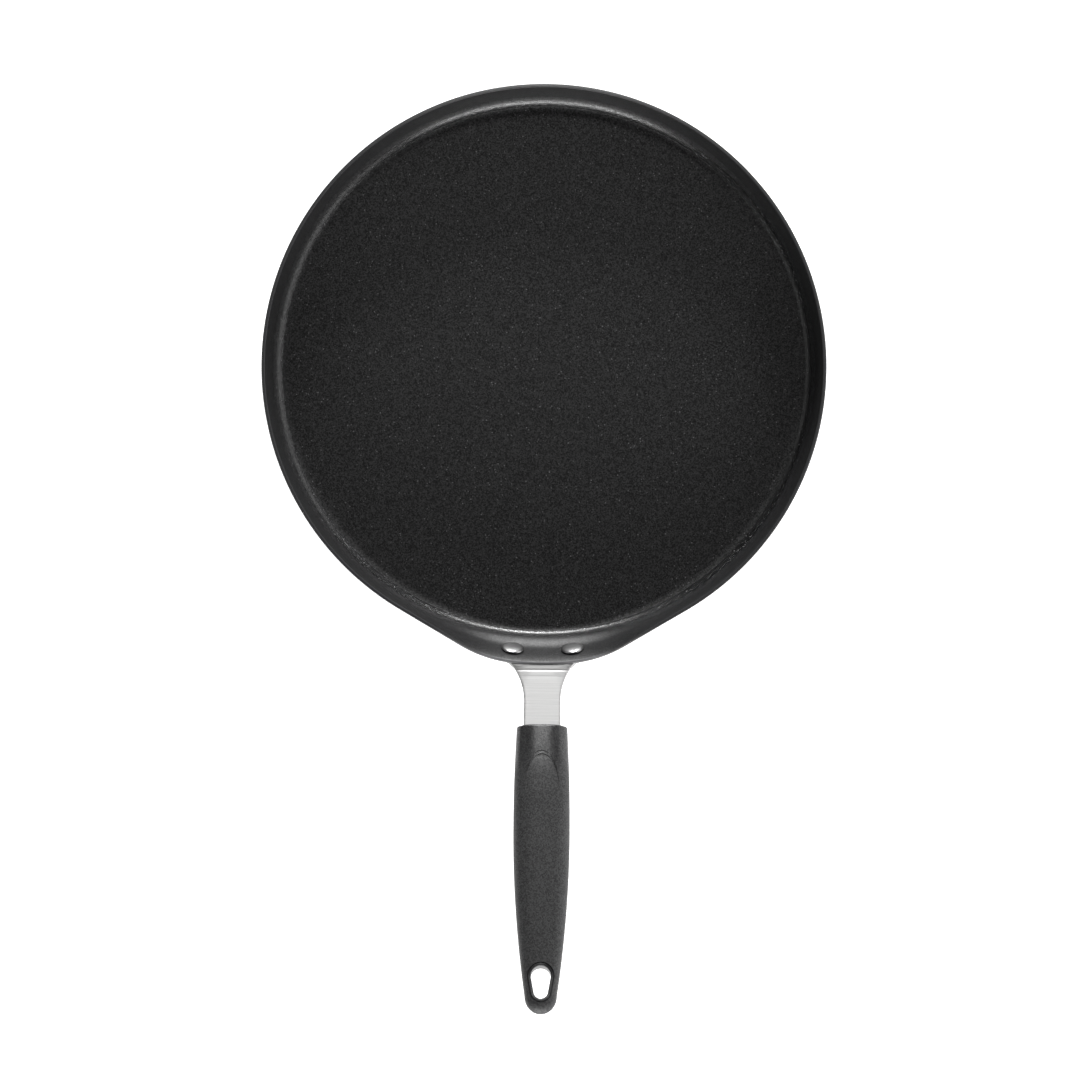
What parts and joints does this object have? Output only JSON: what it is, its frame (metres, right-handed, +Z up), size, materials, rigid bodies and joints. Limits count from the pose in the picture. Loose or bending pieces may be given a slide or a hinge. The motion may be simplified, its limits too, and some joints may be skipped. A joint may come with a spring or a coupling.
{
  "type": "griddle pan",
  "caption": "Round low-walled nonstick griddle pan with a riveted brushed steel bracket and a long soft black grip with a hang hole.",
  "frame": {"origin": "centre of the pan's underside, on the surface that it stands on", "axes": "+Z up out of the pan, the handle runs towards -Y and rises as it goes, +X to the right seen from above with the handle towards the viewer"},
  "size_m": [0.3048, 0.4966, 0.0751],
  "materials": {
    "nonstick_coating": "satin",
    "brushed_steel": "satin",
    "rivet_metal": "polished",
    "hard_plastic": "satin",
    "soft_sleeve": "matte"
  },
  "bodies": {
    "root": {"griddle_body": "nonstick_coating", "handle_bracket": "brushed_steel", "rivet_left": "rivet_metal", "rivet_right": "rivet_metal", "grip_core": "hard_plastic", "grip_sleeve": "soft_sleeve"}
  },
  "joints": []
}
